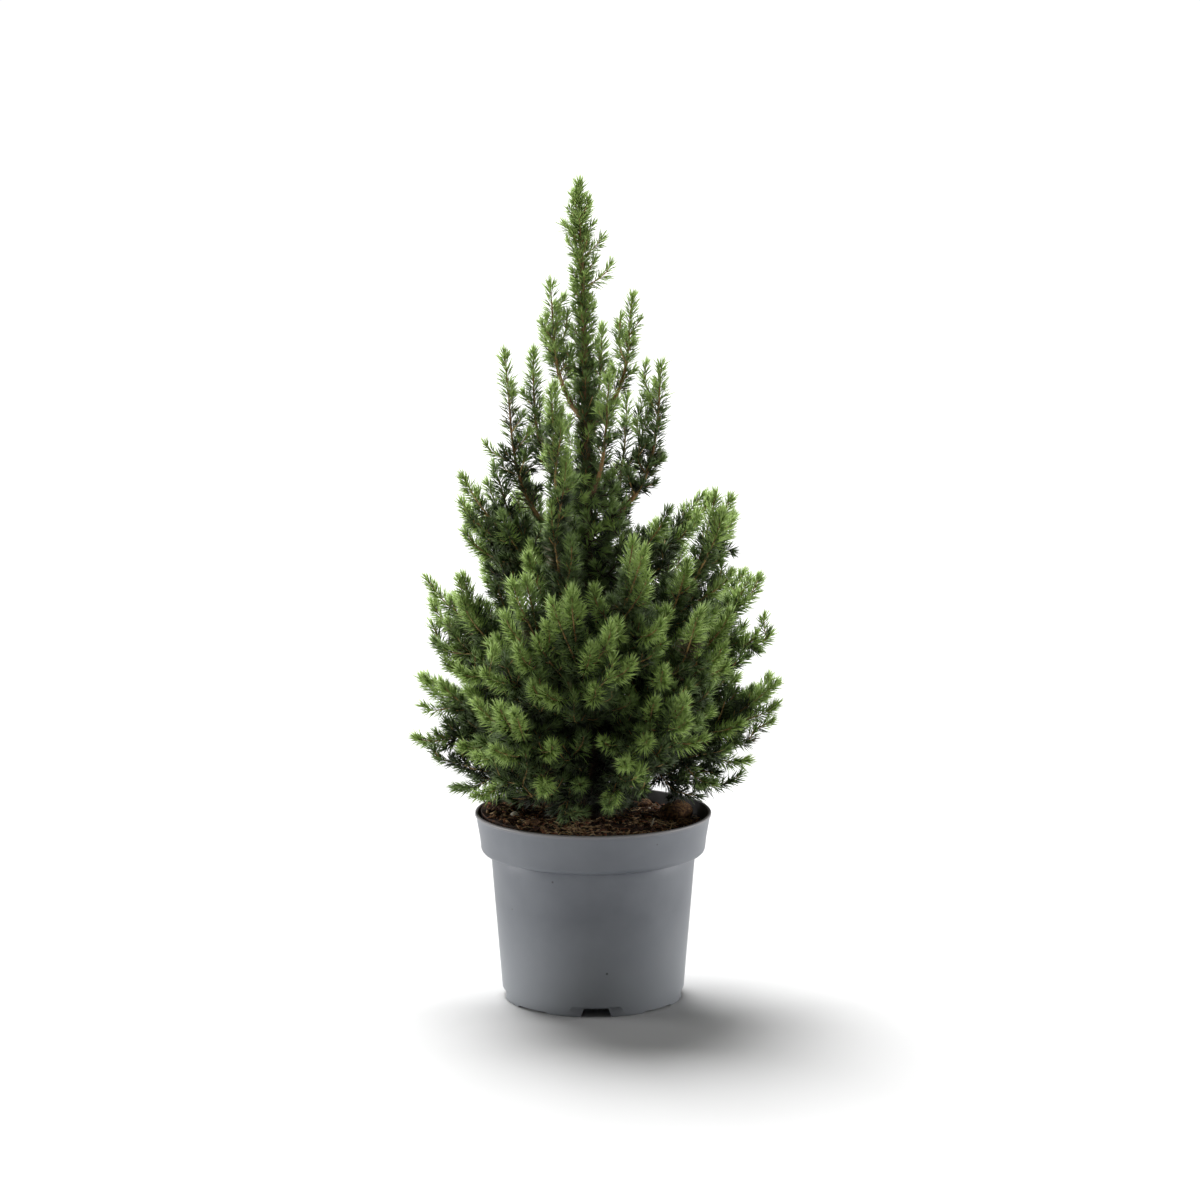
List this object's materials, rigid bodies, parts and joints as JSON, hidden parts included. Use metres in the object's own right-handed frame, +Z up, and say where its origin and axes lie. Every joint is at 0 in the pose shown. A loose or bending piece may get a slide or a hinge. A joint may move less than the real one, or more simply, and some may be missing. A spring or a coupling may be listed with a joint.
{
  "type": "potted dwarf alberta spruce",
  "caption": "Small cone-shaped evergreen with upright needled shoots, growing in a round tapered nursery pot with a lipped rim and a notched foot.",
  "frame": {"origin": "middle of the pot's foot, on the surface it stands on", "axes": "+Z up along the pot's axis; the side shown in front faces -Y, with +X to the right"},
  "size_m": [0.2851, 0.2669, 0.653],
  "materials": {
    "pot_plastic": "satin moulded grey polypropylene",
    "potting_mix": "rough damp peat and bark chips",
    "bark": "rough thin scaly bark",
    "needles": "waxy green needles"
  },
  "bodies": {
    "root": {"pot": "pot_plastic", "soil": "potting_mix", "trunk": "bark", "bough_back_left": "bark", "bough_back_right": "bark", "bough_corner_right": "bark", "bough_front": "bark", "bough_front_left": "bark", "bough_front_right": "bark", "bough_high_back": "bark", "bough_high_front": "bark", "bough_high_left": "bark", "bough_high_right": "bark", "bough_low_back": "bark", "bough_low_back_left": "bark", "bough_low_back_right": "bark", "bough_low_front_left": "bark", "bough_low_front_right": "bark", "bough_low_left": "bark", "bough_low_right": "bark", "bough_middle_left": "bark", "bough_middle_right": "bark", "bough_shoulder_back": "bark", "bough_shoulder_left": "bark", "bough_shoulder_right": "bark", "bough_slim_left": "bark", "bough_tall_front": "bark", "bough_upper_back": "bark", "bough_upper_left": "bark", "bough_upper_right": "bark", "bough_upright_right": "bark", "mass_back_left": "needles", "mass_back_right": "needles", "mass_corner_right": "needles", "mass_front": "needles", "mass_front_left": "needles", "mass_front_right": "needles", "mass_high_back": "needles", "mass_high_front": "needles", "mass_high_left": "needles", "mass_high_right": "needles", "mass_leader": "needles", "mass_low_back": "needles", "mass_low_back_left": "needles", "mass_low_back_right": "needles", "mass_low_front_left": "needles", "mass_low_front_right": "needles", "mass_low_left": "needles", "mass_low_right": "needles", "mass_middle_left": "needles", "mass_middle_right": "needles", "mass_shoulder_back": "needles", "mass_shoulder_left": "needles", "mass_shoulder_right": "needles", "mass_slim_left": "needles", "mass_tall_front": "needles", "mass_upper_back": "needles", "mass_upper_left": "needles", "mass_upper_right": "needles", "mass_upright_right": "needles"}
  },
  "joints": []
}
